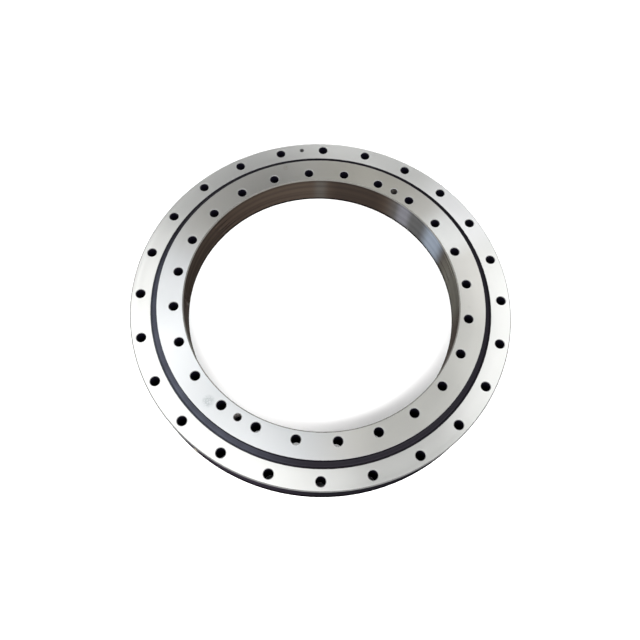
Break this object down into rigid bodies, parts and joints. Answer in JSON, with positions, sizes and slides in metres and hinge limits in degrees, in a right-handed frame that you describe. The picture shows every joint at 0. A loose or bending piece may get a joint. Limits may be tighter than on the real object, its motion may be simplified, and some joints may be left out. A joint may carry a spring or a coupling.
{
  "type": "slewing ring bearing",
  "caption": "Untoothed slewing ring bearing: an outer and an inner bolted steel ring turn on a ball row in four-point contact, closed above and below by rubber seals.",
  "frame": {"origin": "on the turning axis, in the outer ring's lower face", "axes": "+Z along the turning axis, from the outer ring's lower face towards the inner ring's upper face; +Y through one of the outer ring's bolt holes"},
  "size_m": [0.732, 0.732, 0.08],
  "materials": {
    "outer_ring_steel": "finely turned and ground bright steel",
    "inner_ring_steel": "finely turned and ground bright steel, darker turned bore",
    "seal_rubber": "matt nitrile rubber",
    "plug_steel": "turned steel",
    "pin_steel": "hardened and ground steel",
    "ball_steel": "polished bearing steel",
    "spacer_nylon": "moulded natural nylon",
    "nipple_brass": "turned brass",
    "check_ball_steel": "polished steel",
    "spring_steel": "drawn spring wire"
  },
  "bodies": {
    "outer_ring": {"outer_ring": "outer_ring_steel", "upper_seal": "seal_rubber", "loading_plug": "plug_steel", "plug_taper_pin": "pin_steel", "grease_nipple_body_1": "nipple_brass", "grease_nipple_body_2": "nipple_brass", "grease_nipple_body_3": "nipple_brass", "grease_nipple_body_4": "nipple_brass", "grease_nipple_spring_1": "spring_steel", "grease_nipple_spring_2": "spring_steel", "grease_nipple_spring_3": "spring_steel", "grease_nipple_spring_4": "spring_steel"},
    "inner_ring": {"inner_ring": "inner_ring_steel", "lower_seal": "seal_rubber"},
    "ball_row": {"balls": "ball_steel", "ball_spacers": "spacer_nylon"},
    "check_ball_1": {"grease_nipple_ball_1": "check_ball_steel"},
    "check_ball_2": {"grease_nipple_ball_2": "check_ball_steel"},
    "check_ball_3": {"grease_nipple_ball_3": "check_ball_steel"},
    "check_ball_4": {"grease_nipple_ball_4": "check_ball_steel"}
  },
  "joints": [
    {"name": "inner_ring_turn", "type": "hinge", "parent": "outer_ring", "child": "inner_ring", "pos_m": [0, 0, 0.04], "axis": [0, 0, 1], "continuous": true},
    {"name": "ball_row_turn", "type": "hinge", "parent": "outer_ring", "child": "ball_row", "pos_m": [0, 0, 0.04], "axis": [0, 0, 1], "continuous": true},
    {"name": "check_ball_1_slide", "type": "slide", "parent": "outer_ring", "child": "check_ball_1", "axis": [0.7934, -0.6088, 0], "range_m": [0, 0.0008], "stiffness_N_per_m": 200, "springref_m": -0.001, "deforming": ["grease_nipple_spring_1"]},
    {"name": "check_ball_2_slide", "type": "slide", "parent": "outer_ring", "child": "check_ball_2", "axis": [0.6088, 0.7934, 0], "range_m": [0, 0.0008], "stiffness_N_per_m": 200, "springref_m": -0.001, "deforming": ["grease_nipple_spring_2"]},
    {"name": "check_ball_3_slide", "type": "slide", "parent": "outer_ring", "child": "check_ball_3", "axis": [-0.7934, 0.6088, 0], "range_m": [0, 0.0008], "stiffness_N_per_m": 200, "springref_m": -0.001, "deforming": ["grease_nipple_spring_3"]},
    {"name": "check_ball_4_slide", "type": "slide", "parent": "outer_ring", "child": "check_ball_4", "axis": [-0.6088, -0.7934, 0], "range_m": [0, 0.0008], "stiffness_N_per_m": 200, "springref_m": -0.001, "deforming": ["grease_nipple_spring_4"]}
  ],
  "couplings": [
    {"joint": "ball_row_turn", "follows": "inner_ring_turn", "ratio": 0.48316}
  ]
}
